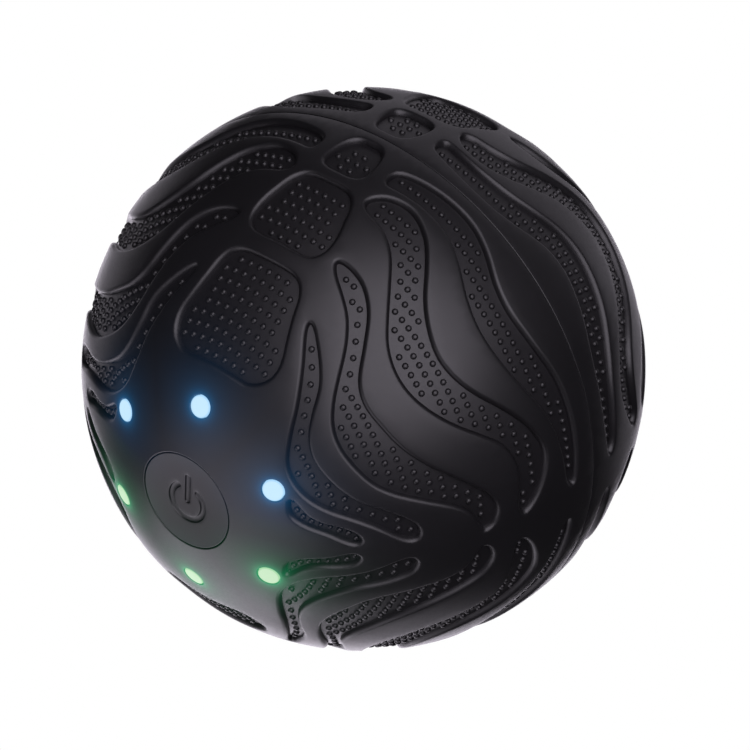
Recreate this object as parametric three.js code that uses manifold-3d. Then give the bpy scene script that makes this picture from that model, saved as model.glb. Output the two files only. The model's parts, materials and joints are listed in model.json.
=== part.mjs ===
// A rechargeable vibrating massage ball, in millimetres, +Z up through the power button.
// The origin is the centre of the ball. The motor shaft and the two cells run along X.
import * as THREE from 'three';
import { mergeVertices } from 'three/addons/utils/BufferGeometryUtils.js';
import Module from 'manifold-3d';

const wasm = await Module();
wasm.setup();

// ---------- driving dimensions ----------
const ballR = 47.5; // outside of the silicone skin
const skinT = 4; // skin thickness
const gap = 0.3; // clearance between neighbouring pieces
const wallT = 2.2; // wall of the rigid shell
const shellR = ballR - skinT - gap; // outside of the rigid shell
const cavityR = shellR - wallT; // inside of the rigid shell
const ballSegments = 32;

const flangeR = 38.4; // inner edge of the rim flange on each shell
const flangeH = 3.6;
const sealR = 40.9; // centre line of the sealing ring
const sealWire = 0.85;

const buttonR = 8.65;
const buttonEdgeZ = 46.6; // the cap lies just inside the ball's surface
const buttonT = 2.2; // cap thickness at its edge
const buttonDish = 0.25; // how far its middle is hollowed
const buttonHoleR = 8.95;
const stemR = 2.8;
const guideR = 5.2; // guide tube under the upper shell
const guideEndZ = 38.5;

const lightCount = 6;
const lightTilt = 22.03; // degrees from the button axis
const lightR = 1.95;
const lightHoleR = 2.2;
const lightStart = -90; // azimuth of the first light

const boardTopZ = 29.6;
const boardT = 1.6;
const boardR = 23;
const boardPostR = 19; // radius of the circle of the board's posts
const boardPosts = [0, 120, 240]; // their azimuths

const motorR = 13.85;
const motorZ = 9; // height of the shaft
const canEnd = 18.9;
const canOpen = 16;
const canT = 0.9;
const bearingR = 5;
const shaftR = 1.15;
const shaftHoleR = 1.5;
const shaftHalf = 30.5;
const weightR = 12;
const weightT = 8;
const weightX = 21.8; // inner face of each weight

const cellR = 9.1;
const cellHalf = 24.75;
const cellY = 9.6;
const cellZ = -17.5;
const strapT = 1;
const strapHalf = 6;

const bossAt = 23.6; // x and y of the four case screws
const caseScrewR = 1.45;
const caseHoleR = 1.75;
const counterboreR = 3.1;
const counterboreZ = -9;

const trayTopZ = -0.1;
const trayT = 1.5;
const clampHalf = 5;
const clampScrewY = 18;

const portPadZ = -43; // flat face round the charging socket
const portPad = [12.6, 6.8];
const portHole = [13.2, 7.4];
const socket = [8.94, 3.26];
const socketTopZ = -35.5;
const chargeBoardZ = -35.2; // underside of the charging board
const chargePostX = 10;

// ---------- materials ----------
function finish(color, roughness, metalness = 0) {
  return new THREE.MeshStandardMaterial({ color, roughness, metalness });
}
const silicone = finish(0x17181a, 0.62);
const buttonPlastic = finish(0x1d1e20, 0.5);
const shellPlastic = finish(0x2a2b2e, 0.55);
const trayPlastic = finish(0xd9d6cc, 0.6);
const lens = finish(0xd8f2ff, 0.25);
const ledCase = finish(0xf3efd8, 0.4);
const boardGreen = finish(0x1c5a34, 0.5);
const chipBlack = finish(0x151515, 0.45);
const steel = finish(0xb9bbbf, 0.35, 1);
const brass = finish(0xb7974f, 0.4, 1);
const copper = finish(0xa8623a, 0.45, 1);
const ferrite = finish(0x3a3a3c, 0.7);
const endCapPlastic = finish(0x20211f, 0.6);
const cellSleeve = finish(0x2f6fb5, 0.4);
const sealRubber = finish(0x343434, 0.8);
const redLead = finish(0xb3261e, 0.5);
const blackLead = finish(0x1b1b1b, 0.5);

// ---------- geometry helpers ----------
const radians = THREE.MathUtils.degToRad;

// A closed solid for cutting and joining; faces that collapse to a line at a pole are left out.
function solidOf(geometry) {
  const plain = geometry.clone();
  plain.deleteAttribute('normal');
  plain.deleteAttribute('uv');
  const merged = mergeVertices(plain, 1e-3);
  const index = merged.index.array;
  const kept = [];
  for (let i = 0; i < index.length; i += 3) {
    const [a, b, c] = [index[i], index[i + 1], index[i + 2]];
    if (a !== b && b !== c && c !== a) kept.push(a, b, c);
  }
  return new wasm.Manifold(new wasm.Mesh({
    numProp: 3,
    vertProperties: merged.attributes.position.array,
    triVerts: Uint32Array.from(kept),
  }));
}

function geometryOf(solid) {
  const mesh = solid.getMesh();
  const geometry = new THREE.BufferGeometry();
  geometry.setAttribute('position', new THREE.BufferAttribute(mesh.vertProperties, 3));
  geometry.setIndex(new THREE.BufferAttribute(mesh.triVerts, 1));
  return geometry;
}

function cut(base, ...tools) {
  return tools.reduce((whole, tool) => whole.subtract(solidOf(tool)), base);
}

function join(base, ...pieces) {
  return pieces.reduce((whole, piece) => whole.add(solidOf(piece)), base);
}

// Turns a profile of [radius, height] points, listed anticlockwise, about Z.
function lathe(profile, segments = 24) {
  const points = profile.map(([r, z]) => new THREE.Vector2(r, z));
  return new THREE.LatheGeometry(points, segments).rotateX(Math.PI / 2);
}

// The same ring of points closed on itself, for a body with a hole down its axis.
function ring(profile, segments) {
  return lathe([...profile, profile[0]], segments);
}

// A cylinder along Z between two heights.
function rod(radius, z0, z1, segments = 24) {
  return lathe([[0, z0], [radius, z0], [radius, z1], [0, z1]], segments);
}

function block(x0, x1, y0, y1, z0, z1) {
  const box = new THREE.BoxGeometry(x1 - x0, y1 - y0, z1 - z0);
  return box.translate((x0 + x1) / 2, (y0 + y1) / 2, (z0 + z1) / 2);
}

// Points on a circle of radius R in the [radius, height] plane, from one polar angle to another.
function arc(R, from, to, steps) {
  const points = [];
  for (let i = 0; i <= steps; i++) {
    const angle = radians(from + ((to - from) * i) / steps);
    points.push([R * Math.sin(angle), R * Math.cos(angle)]);
  }
  return points;
}

// The polar angle at which a circle of radius R reaches a height, or a distance from the axis.
const polarAtHeight = (R, z) => THREE.MathUtils.radToDeg(Math.acos(z / R));
const polarAtRadius = (R, r) => THREE.MathUtils.radToDeg(Math.asin(r / R));

function roundedRect(width, height, radius) {
  const [x, y] = [width / 2, height / 2];
  const shape = new THREE.Shape();
  shape.moveTo(x, -y + radius);
  shape.lineTo(x, y - radius);
  shape.absarc(x - radius, y - radius, radius, 0, Math.PI / 2);
  shape.lineTo(-x + radius, y);
  shape.absarc(-x + radius, y - radius, radius, Math.PI / 2, Math.PI);
  shape.lineTo(-x, -y + radius);
  shape.absarc(-x + radius, -y + radius, radius, Math.PI, 1.5 * Math.PI);
  shape.lineTo(x - radius, -y);
  shape.absarc(x - radius, -y + radius, radius, 1.5 * Math.PI, 2 * Math.PI);
  return shape;
}

// Each arc of the outline gets twice this many straight pieces.
function extrude(shape, z0, z1, curveSegments = 3) {
  const options = { depth: z1 - z0, bevelEnabled: false, curveSegments };
  return new THREE.ExtrudeGeometry(shape, options).translate(0, 0, z0);
}

// Stands a solid made along Z on the X axis: its x, y, z become y, z, x.
function alongX(geometry) {
  const turn = new THREE.Matrix4().set(0, 0, 1, 0, 1, 0, 0, 0, 0, 1, 0, 0, 0, 0, 0, 1);
  return geometry.applyMatrix4(turn);
}

function lead(points, radius = 0.7) {
  const path = new THREE.CatmullRomCurve3(points.map((p) => new THREE.Vector3(...p)));
  const section = new THREE.Shape();
  section.absarc(0, 0, radius, 0, 2 * Math.PI);
  const options = { steps: 2 * points.length + 2, curveSegments: 4, extrudePath: path };
  return new THREE.ExtrudeGeometry(section, options);
}

const ball = new THREE.Group();

function add(name, geometry, material, parent = ball) {
  const mesh = new THREE.Mesh(geometry, material);
  mesh.name = name;
  parent.add(mesh);
  return mesh;
}

// A solid made upright on the pole, leaned out to the lights' ring at one azimuth.
function leanToLight(geometry, index) {
  const azimuth = lightStart + (360 / lightCount) * index;
  return geometry.rotateY(radians(lightTilt)).rotateZ(radians(azimuth));
}

// ---------- silicone skin ----------
function skinUpper() {
  const rim = gap / 2;
  const outer = arc(ballR, polarAtHeight(ballR, rim), polarAtRadius(ballR, buttonHoleR), 11);
  const innerR = ballR - skinT;
  const inner = arc(innerR, polarAtRadius(innerR, buttonHoleR), polarAtHeight(innerR, rim), 9);
  const cap = solidOf(ring([...outer, ...inner], ballSegments));
  const holes = [];
  for (let i = 0; i < lightCount; i++) holes.push(leanToLight(rod(lightHoleR, 40, 50, 12), i));
  return geometryOf(cut(cap, ...holes));
}

function skinLower() {
  const rim = -gap / 2;
  const outer = arc(ballR, 180, polarAtHeight(ballR, rim), 12);
  const innerR = ballR - skinT;
  const inner = arc(innerR, polarAtHeight(innerR, rim), 180, 10);
  const bowl = solidOf(lathe([...outer, ...inner], ballSegments));
  const port = extrude(roundedRect(...portHole, 3.3), -50, -40);
  return geometryOf(cut(bowl, port));
}

// ---------- rigid shells ----------
// The rim flange with its seal channel, as the profile's last points, mirrored by side = 1 or -1.
function rimProfile(side) {
  const rim = gap / 2;
  const channel = [[sealR - 1, rim], [sealR - 1, 1.15], [sealR + 1, 1.15], [sealR + 1, rim]];
  const flange = [[flangeR, flangeH], [flangeR, rim], ...channel, [shellR, rim]];
  return flange.map(([r, z]) => [r, side * z]);
}

const wallStartZ = 6; // the plain wall begins here, above the flange
const inWall = () => solidOf(new THREE.SphereGeometry(shellR - 0.9, 24, 14));

function shellUpper() {
  const holeR = stemR + 0.4;
  const outer = arc(shellR, polarAtHeight(shellR, gap / 2), polarAtRadius(shellR, holeR), 10);
  const guide = [[holeR, guideEndZ], [guideR, guideEndZ]];
  const inner = arc(cavityR, polarAtRadius(cavityR, guideR), polarAtHeight(cavityR, wallStartZ), 9);
  const profile = [...outer, ...guide, ...inner, ...rimProfile(1).slice(0, -1)];
  let shell = solidOf(ring(profile, ballSegments));
  for (const x of [-bossAt, bossAt]) {
    for (const y of [-bossAt, bossAt]) {
      const boss = solidOf(rod(3.4, 0.2, 30, 12).translate(x, y, 0)).intersect(inWall());
      shell = shell.add(boss).subtract(solidOf(rod(caseHoleR, -1, 9, 10).translate(x, y, 0)));
    }
  }
  for (const azimuth of boardPosts) {
    const at = (geometry) => geometry.translate(boardPostR, 0, 0).rotateZ(radians(azimuth));
    const post = solidOf(at(rod(2.2, boardTopZ + 0.1, 39, 12))).intersect(inWall());
    shell = shell.add(post).subtract(solidOf(at(rod(1.1, boardTopZ - 1, 34.5, 10))));
  }
  const holes = [];
  for (let i = 0; i < lightCount; i++) holes.push(leanToLight(rod(lightHoleR, 38, 46, 12), i));
  return geometryOf(cut(shell, ...holes));
}

// Seats that hold the two cells from below, cut to the cells' outline.
function cellSeat(x) {
  const seat = solidOf(block(x - 1, x + 1, -19, 19, -42, cellZ)).intersect(inWall());
  const cells = [-cellY, cellY].map((y) => {
    return alongX(rod(cellR + gap, -30, 30)).translate(0, y, cellZ);
  });
  return cut(seat, ...cells, block(x - 2, x + 2, -cellY, cellY, -24, -10));
}

function shellLower() {
  const outer = arc(shellR, 180, polarAtHeight(shellR, -gap / 2), 11);
  const inner = arc(cavityR, polarAtHeight(cavityR, -wallStartZ), 180, 10);
  const rim = rimProfile(-1).slice(0, -1).reverse();
  let shell = solidOf(lathe([...outer, ...rim, ...inner], ballSegments));
  for (const x of [-bossAt, bossAt]) {
    for (const y of [-bossAt, bossAt]) {
      const boss = solidOf(rod(4.4, -34, -1.9, 14).translate(x, y, 0)).intersect(inWall());
      shell = shell.add(boss);
      shell = shell.subtract(solidOf(rod(caseHoleR, -12, 0, 10).translate(x, y, 0)));
      shell = shell.subtract(solidOf(rod(counterboreR, -45, counterboreZ, 12).translate(x, y, 0)));
    }
  }
  for (const x of [-16, 16]) shell = shell.add(cellSeat(x));
  for (const x of [-chargePostX, chargePostX]) {
    shell = shell.add(solidOf(rod(1.9, -41.5, chargeBoardZ - 0.1, 12).translate(x, 0, 0)));
    shell = shell.subtract(solidOf(rod(1.1, -38.8, chargeBoardZ, 10).translate(x, 0, 0)));
  }
  const pad = extrude(roundedRect(...portPad, 3), portPadZ, -41);
  const beyondPad = block(-7, 7, -3.8, 3.8, -46, portPadZ);
  const slot = extrude(roundedRect(socket[0] + 0.66, socket[1] + 0.66, 1.9), -45, -38);
  return geometryOf(cut(join(shell, pad), beyondPad, slot));
}

function sealRing() {
  const wire = [];
  for (let i = 0; i < 6; i++) {
    const angle = radians(60 * i);
    wire.push([sealR + sealWire * Math.cos(angle), sealWire * Math.sin(angle)]);
  }
  return ring(wire, ballSegments);
}

// ---------- power button and its switch ----------
function powerButton() {
  const crown = [1, 0.75, 0.5, 0.25, 0].map((share) => [
    buttonR * share, buttonEdgeZ - buttonDish * (1 - share ** 2)]);
  const underZ = buttonEdgeZ - buttonT;
  const stem = [[0, 35.7], [stemR, 35.7], [stemR, underZ], [buttonR, underZ]];
  return lathe([...stem, ...crown], ballSegments);
}

function retainingRing() {
  const [z0, z1] = [37.3, guideEndZ - gap];
  return ring([[stemR + 0.15, z0], [4.4, z0], [4.4, z1], [stemR + 0.15, z1]], 18);
}

function switchBody() {
  const [z0, z1] = [boardTopZ + 0.1, boardTopZ + 3.5];
  const body = solidOf(block(-3.1, 3.1, -3.1, 3.1, z0, z1));
  return geometryOf(cut(body, rod(2.1, z1 - 1.6, z1 + 1, 16)));
}

// ---------- control board, lights ----------
function controlBoard() {
  const board = solidOf(rod(boardR, boardTopZ - boardT, boardTopZ, 40));
  const holes = boardPosts.map((azimuth) => {
    return rod(1.4, boardTopZ - 3, boardTopZ + 1, 10)
      .translate(boardPostR, 0, 0)
      .rotateZ(radians(azimuth));
  });
  return geometryOf(cut(board, ...holes));
}

function boardScrew(azimuth) {
  const under = boardTopZ - boardT - 0.1;
  const profile = [[0, under - 1.4], [2, under - 1.4], [2, under], [0.85, under], [0.85, 34], [0, 34]];
  return lathe(profile, 12).translate(boardPostR, 0, 0).rotateZ(radians(azimuth));
}

// A round light guide with a collar that sits under the shell.
function lightPipe(index) {
  const profile = [
    [0, 34.2], [lightR, 34.2], [lightR, 39.2], [2.8, 39.2], [2.8, 40], [lightR, 40],
    [lightR, ballR - 0.05], [0, ballR],
  ];
  return leanToLight(lathe(profile, 12), index);
}

function led(index) {
  const azimuth = lightStart + (360 / lightCount) * index;
  const radius = 34.2 * Math.sin(radians(lightTilt)) - 0.2;
  const z0 = boardTopZ + 0.1;
  return block(-1.4, 1.4, -1.4, 1.4, z0, z0 + 0.7).translate(radius, 0, 0).rotateZ(radians(azimuth));
}

// ---------- motor ----------
function motorCan() {
  const inR = motorR - canT;
  const profile = [
    [shaftHoleR, -canEnd - 2], [bearingR, -canEnd - 2], [bearingR, -canEnd], [motorR - 1.2, -canEnd],
    [motorR, -canEnd + 1.2], [motorR, canOpen], [inR, canOpen], [inR, -canEnd + canT],
    [shaftHoleR, -canEnd + canT],
  ];
  return alongX(ring(profile, 32)).translate(0, 0, motorZ);
}

function motorEndCap() {
  const plugR = motorR - canT - gap;
  const profile = [
    [shaftHoleR, canOpen - 2], [plugR, canOpen - 2], [plugR, canOpen + gap], [motorR, canOpen + gap],
    [motorR, canEnd - 0.6], [bearingR, canEnd - 0.6], [bearingR, canEnd + 1], [shaftHoleR, canEnd + 1],
  ];
  const cap = solidOf(alongX(ring(profile, 32)).translate(0, 0, motorZ));
  const tabs = [-8.5, 8.5].map((y) => block(canEnd - 1, canEnd + 0.9, y - 1.2, y + 1.2, 8.7, 9.3));
  return geometryOf(join(cap, ...tabs));
}

function magnet(side) {
  const [inner, outer] = [10.2, motorR - canT - gap];
  const spread = radians(58);
  const shape = new THREE.Shape();
  shape.absarc(0, 0, outer, -spread, spread);
  shape.absarc(0, 0, inner, spread, -spread, true);
  const arcSolid = extrude(shape, -13, 12, 4);
  if (side < 0) arcSolid.rotateZ(Math.PI);
  return alongX(arcSolid).translate(0, 0, motorZ);
}

function armature() {
  const hole = shaftR + 0.1;
  const profile = [
    [hole, -12.5], [7.5, -12.5], [8.4, -9], [9.6, -9], [9.6, 7], [8.4, 7], [7.5, 10],
    [3.6, 10], [3.6, 13.2], [hole, 13.2],
  ];
  return alongX(ring(profile, 24)).translate(0, 0, motorZ);
}

const motorShaft = () => alongX(rod(shaftR, -shaftHalf, shaftHalf, 12)).translate(0, 0, motorZ);

// Half a disc hanging under its hub, so that the ball shakes as the shaft turns.
function weight(side) {
  const shape = new THREE.Shape();
  shape.moveTo(-weightR, 0);
  shape.absarc(0, 0, weightR, Math.PI, 2 * Math.PI);
  shape.absarc(0, 0, 3.6, 0, Math.PI);
  shape.closePath();
  const hole = new THREE.Path();
  hole.absarc(0, 0, shaftR + 0.1, 0, 2 * Math.PI);
  shape.holes.push(hole);
  const start = side > 0 ? weightX : -weightX - weightT;
  return alongX(extrude(shape, start, start + weightT, 7)).translate(0, 0, motorZ);
}

// ---------- tray, clamp ----------
function motorTray() {
  const [z0, z1] = [trayTopZ - trayT, trayTopZ];
  let tray = solidOf(extrude(roundedRect(70, 42, 8), z0, z1));
  const saddle = new THREE.Shape();
  saddle.moveTo(-15, z1);
  saddle.lineTo(-15, -3);
  saddle.lineTo(-12, -6.6);
  saddle.lineTo(12, -6.6);
  saddle.lineTo(15, -3);
  saddle.lineTo(15, z1);
  tray = cut(tray, extrude(roundedRect(64, 28.4, 4), z0 - 1, z1 + 1));
  for (const x of [-bossAt, bossAt]) {
    for (const y of [-bossAt, bossAt]) {
      const inward = block(x - 4.2, x + 4.2, Math.min(y, 17), Math.max(y, -17), z0, z1);
      tray = join(tray, rod(4.2, z0, z1, 20).translate(x, y, 0), inward);
    }
  }
  for (const x of [-11, 11]) tray = join(tray, alongX(extrude(saddle, x - 1.2, x + 1.2)));
  for (const y of [-clampScrewY, clampScrewY]) tray = join(tray, rod(2.6, -5.5, z1, 16).translate(0, y, 0));
  const holes = [alongX(rod(motorR + gap, -30, 30, 32)).translate(0, 0, motorZ)];
  for (const x of [-bossAt, bossAt]) {
    for (const y of [-bossAt, bossAt]) holes.push(rod(caseHoleR, z0 - 1, z1 + 1, 12).translate(x, y, 0));
  }
  for (const y of [-clampScrewY, clampScrewY]) holes.push(rod(1.4, -4.8, 1, 10).translate(0, y, 0));
  return geometryOf(cut(tray, ...holes));
}

function motorClamp() {
  const inner = motorR + gap;
  const outer = inner + 1.5;
  const [footZ, footTop, footY] = [0.2 - motorZ, 1.7 - motorZ, 20.8];
  const shape = new THREE.Shape();
  shape.moveTo(inner, footZ);
  shape.lineTo(footY, footZ);
  shape.lineTo(footY, footTop);
  shape.lineTo(outer, footTop);
  shape.absarc(0, 0, outer, 0, Math.PI);
  shape.lineTo(-outer, footTop);
  shape.lineTo(-footY, footTop);
  shape.lineTo(-footY, footZ);
  shape.lineTo(-inner, footZ);
  shape.absarc(0, 0, inner, Math.PI, 0, true);
  const band = solidOf(alongX(extrude(shape, -clampHalf, clampHalf, 9)).translate(0, 0, motorZ));
  const holes = [-clampScrewY, clampScrewY].map((y) => rod(1.4, -1, 4, 10).translate(0, y, 0));
  return geometryOf(cut(band, ...holes));
}

// A screw whose head is at its top, with the thread running down.
function screwDown(headR, headH, threadR, seatZ, length) {
  return lathe([
    [0, seatZ - length], [threadR, seatZ - length], [threadR, seatZ], [headR, seatZ],
    [headR, seatZ + headH], [0, seatZ + headH],
  ], 12);
}

// A case screw goes up from the lower shell's counterbore into the upper shell.
function caseScrew(x, y) {
  const seat = counterboreZ - 0.2;
  const profile = [
    [0, seat - 2.2], [2.75, seat - 2.2], [2.75, seat], [caseScrewR, seat], [caseScrewR, 7.5], [0, 7.5],
  ];
  return lathe(profile, 12).translate(x, y, 0);
}

// ---------- battery ----------
function cell(side) {
  const r = cellR;
  const profile = [
    [0, -cellHalf], [r - 0.6, -cellHalf], [r, -cellHalf + 0.6], [r, cellHalf - 1.6],
    [r - 0.6, cellHalf - 1], [3.2, cellHalf - 1], [3.2, cellHalf], [0, cellHalf],
  ];
  const made = lathe(profile, 24);
  if (side < 0) made.rotateX(Math.PI);
  return alongX(made).translate(0, side * cellY, cellZ);
}

// The outline of both cells side by side, grown by an offset.
function cellsOutline(offset) {
  const shape = new THREE.Shape();
  const r = cellR + offset;
  shape.absarc(cellY, 0, r, -Math.PI / 2, Math.PI / 2);
  shape.absarc(-cellY, 0, r, Math.PI / 2, 1.5 * Math.PI);
  return shape;
}

function batteryStrap() {
  const shape = cellsOutline(gap + strapT);
  shape.holes.push(cellsOutline(gap));
  return alongX(extrude(shape, -strapHalf, strapHalf, 6)).translate(0, 0, cellZ);
}

// A nickel strip across the ends of the two cells.
function linkTab(x) {
  return block(x, x + 0.4, -cellY - 2.5, cellY + 2.5, cellZ - 2, cellZ + 2);
}

// ---------- charging socket ----------
function chargeBoard() {
  const board = solidOf(extrude(roundedRect(27, 13, 2), chargeBoardZ, chargeBoardZ + 1.2));
  const holes = [-chargePostX, chargePostX].map((x) => rod(1.2, -37, -32, 10).translate(x, 0, 0));
  return geometryOf(cut(board, ...holes));
}

function socketShell() {
  const shape = roundedRect(...socket, 1.62);
  shape.holes.push(roundedRect(socket[0] - 0.6, socket[1] - 0.6, 1.32));
  return extrude(shape, portPadZ + 0.2, socketTopZ);
}

function socketTongue() {
  const back = solidOf(extrude(roundedRect(socket[0] - 0.8, socket[1] - 0.8, 1.2), -37, socketTopZ));
  return geometryOf(join(back, block(-3.35, 3.35, -0.35, 0.35, -42, -36.5)));
}

// ---------- assembly ----------
add('skin_upper', skinUpper(), silicone);
add('skin_lower', skinLower(), silicone);
add('shell_upper', shellUpper(), shellPlastic);
add('shell_lower', shellLower(), shellPlastic);
add('seal_ring', sealRing(), sealRubber);

const button = new THREE.Group();
ball.add(button);
add('power_button', powerButton(), buttonPlastic, button);
add('button_retaining_ring', retainingRing(), steel, button);

add('switch_body', switchBody(), chipBlack);
add('switch_plunger', rod(1.7, boardTopZ + 2.9, 35.4, 16), endCapPlastic);
add('control_board', controlBoard(), boardGreen);
add('controller_chip', block(-5, 5, -9, -4, 25.9, boardTopZ - boardT - 0.1), chipBlack);
boardPosts.forEach((azimuth, i) => add(`board_screw_${i + 1}`, boardScrew(azimuth), steel));
for (let i = 0; i < lightCount; i++) {
  add(`light_pipe_${i + 1}`, lightPipe(i), lens);
  add(`led_${i + 1}`, led(i), ledCase);
}

const motor = new THREE.Group();
ball.add(motor);
add('motor_can', motorCan(), steel, motor);
add('motor_end_cap', motorEndCap(), endCapPlastic, motor);
add('magnet_left', magnet(-1), ferrite, motor);
add('magnet_right', magnet(1), ferrite, motor);

const rotor = new THREE.Group();
motor.add(rotor);
add('motor_shaft', motorShaft(), steel, rotor);
add('armature', armature(), copper, rotor);
add('eccentric_weight_left', weight(-1), brass, rotor);
add('eccentric_weight_right', weight(1), brass, rotor);

add('motor_tray', motorTray(), trayPlastic);
add('motor_clamp', motorClamp(), trayPlastic);
[-clampScrewY, clampScrewY].forEach((y, i) => {
  add(`clamp_screw_${i + 1}`, screwDown(2.1, 1.5, 1.1, 1.9, 6).translate(0, y, 0), steel);
});
[[-1, -1], [1, -1], [1, 1], [-1, 1]].forEach(([sx, sy], i) => {
  add(`case_screw_${i + 1}`, caseScrew(sx * bossAt, sy * bossAt), steel);
});

add('battery_cell_1', cell(-1), cellSleeve);
add('battery_cell_2', cell(1), cellSleeve);
add('battery_strap', batteryStrap(), blackLead);
add('cell_link_tab', linkTab(-cellHalf - 0.7), steel);

add('charge_board', chargeBoard(), boardGreen);
add('charge_socket_shell', socketShell(), steel);
add('charge_socket_tongue', socketTongue(), chipBlack);
[-chargePostX, chargePostX].forEach((x, i) => {
  const screw = screwDown(1.7, 1.1, 0.8, chargeBoardZ + 1.3, 4.4);
  add(`charge_board_screw_${i + 1}`, screw.translate(x, 0, 0), steel);
});

// Leads are short runs of wire from the motor, cells and charging board to the control board.
const boardUnderZ = boardTopZ - boardT - 0.4;
add('motor_lead_red', lead([
  [20.9, 9.5, 9], [20.2, 12.6, 11.5], [18, 14.8, 16], [14.5, 14, 21.5], [11, 11.5, 25.5],
  [10, 10.5, boardUnderZ],
]), redLead);
add('motor_lead_black', lead([
  [20.9, -9.5, 9], [20.2, -12.6, 11.5], [18, -14.8, 16], [14.5, -14, 21.5], [11, -11.5, 25.5],
  [10, -10.5, boardUnderZ],
]), blackLead);
add('battery_lead_red', lead([
  [25.8, 9.6, cellZ], [27.2, 13, -14], [26, 16, -9.3], [20.5, 17.8, -8.2], [13.5, 21.8, -6],
  [9, 24.2, -1], [7.5, 24.6, 8], [6, 20.5, 18], [4.5, 15.5, boardUnderZ],
]), redLead);
add('battery_lead_black', lead([
  [25.8, -9.6, cellZ], [27.2, -13, -14], [26, -16, -9.3], [20.5, -17.8, -8.2], [13.5, -21.8, -6],
  [9, -24.2, -1], [7.5, -24.6, 8], [6, -20.5, 18], [4.5, -15.5, boardUnderZ],
]), blackLead);
add('charge_lead', lead([
  [0, 4.5, -33.2], [0, 9, -31.8], [0, 16, -29.5], [-1, 22.5, -23.5], [-3, 25.6, -13], [-5, 26.4, -2],
  [-6, 24.4, 9], [-5.5, 20, 18], [-5, 16.5, 24.5], [-5, 15.5, boardUnderZ],
]), redLead);

export default ball;
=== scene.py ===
import json
import math

import bpy
import bmesh
import numpy as np
from mathutils import Matrix, Vector
from mathutils.geometry import delaunay_2d_cdt


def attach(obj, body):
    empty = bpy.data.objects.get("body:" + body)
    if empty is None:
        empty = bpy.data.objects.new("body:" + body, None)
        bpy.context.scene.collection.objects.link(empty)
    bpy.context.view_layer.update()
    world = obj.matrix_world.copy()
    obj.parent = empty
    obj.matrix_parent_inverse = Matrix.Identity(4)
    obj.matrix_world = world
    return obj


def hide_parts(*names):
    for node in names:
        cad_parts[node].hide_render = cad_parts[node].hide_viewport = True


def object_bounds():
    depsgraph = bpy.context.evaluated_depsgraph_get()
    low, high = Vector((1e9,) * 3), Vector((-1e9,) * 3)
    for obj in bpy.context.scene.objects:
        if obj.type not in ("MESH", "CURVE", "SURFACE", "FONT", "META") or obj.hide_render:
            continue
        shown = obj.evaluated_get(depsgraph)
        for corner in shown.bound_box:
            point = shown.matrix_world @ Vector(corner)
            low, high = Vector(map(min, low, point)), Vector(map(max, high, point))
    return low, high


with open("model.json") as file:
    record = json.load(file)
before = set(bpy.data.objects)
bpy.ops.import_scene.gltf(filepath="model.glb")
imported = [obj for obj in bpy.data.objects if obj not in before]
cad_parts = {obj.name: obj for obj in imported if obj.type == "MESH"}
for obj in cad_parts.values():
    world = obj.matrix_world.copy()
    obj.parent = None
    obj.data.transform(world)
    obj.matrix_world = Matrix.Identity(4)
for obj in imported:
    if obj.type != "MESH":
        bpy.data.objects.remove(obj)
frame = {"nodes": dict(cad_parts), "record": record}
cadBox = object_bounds()
nodes = frame["nodes"]
mm = 0.001

ball = {
    "radius": 47.5,
    "innerRadius": 43.5,
    "seamHalf": 0.05,
    "seamRound": 0.15,
    "rimSteps": 60,  # points on a quarter of the seam
    "spacing": 1.5,
    "innerSpacing": 5.0,
}
ballRadius = ball["radius"]
guard = 0.06  # width of the tight row beside a rounded edge, which keeps its shading to itself
sharpAngle = math.radians(48)  # edges that bend more than this are shaded sharp
netRowShare = 0.866  # an even net's rows stand this share of its spacing apart


# Lengths are in millimetres up to makePiece. The pattern is the same in each quarter of each
# half. A quarter runs from turn 0, which faces -Y, to turn 90. Slant is the angle down from
# the pole. Both are in degrees.
def onBall(turn, slant):
    t, s = np.radians(turn), np.radians(slant)
    return np.stack([np.sin(s) * np.cos(t), np.sin(s) * np.sin(t), np.cos(s)], -1)


def toSheet(places):
    # The sheet is the ball's surface laid flat round the pole, in degrees of slant.
    p = np.asarray(places, float)
    across = np.hypot(p[:, 0], p[:, 1])
    slant = np.degrees(np.arctan2(across, p[:, 2]))
    share = slant / np.maximum(across, 1e-12)
    return p[:, :2] * share[:, None]


def fromSheet(flat):
    flat = np.asarray(flat, float)
    slant = np.hypot(flat[:, 0], flat[:, 1])
    turn = np.degrees(np.arctan2(flat[:, 1], flat[:, 0]))
    return onBall(turn, slant)


def smoothLoop(corners, perSpan=24):
    # A centripetal Catmull-Rom curve through the corners of a closed outline.
    p = np.asarray(corners, float)
    count = len(p)
    made = []
    for i in range(count):
        a, b, c, d = p[i - 1], p[i], p[(i + 1) % count], p[(i + 2) % count]
        t0 = 0.0
        t1 = t0 + np.linalg.norm(b - a) ** 0.5
        t2 = t1 + np.linalg.norm(c - b) ** 0.5
        t3 = t2 + np.linalg.norm(d - c) ** 0.5
        t = np.linspace(t1, t2, perSpan, endpoint=False)[:, None]
        ab = (t1 - t) / (t1 - t0) * a + (t - t0) / (t1 - t0) * b
        bc = (t2 - t) / (t2 - t1) * b + (t - t1) / (t2 - t1) * c
        cd = (t3 - t) / (t3 - t2) * c + (t - t2) / (t3 - t2) * d
        abc = (t2 - t) / (t2 - t0) * ab + (t - t0) / (t2 - t0) * bc
        bcd = (t3 - t) / (t3 - t1) * bc + (t - t1) / (t3 - t1) * cd
        made.append((t2 - t) / (t2 - t1) * abc + (t - t1) / (t2 - t1) * bcd)
    return np.concatenate(made)


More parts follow.
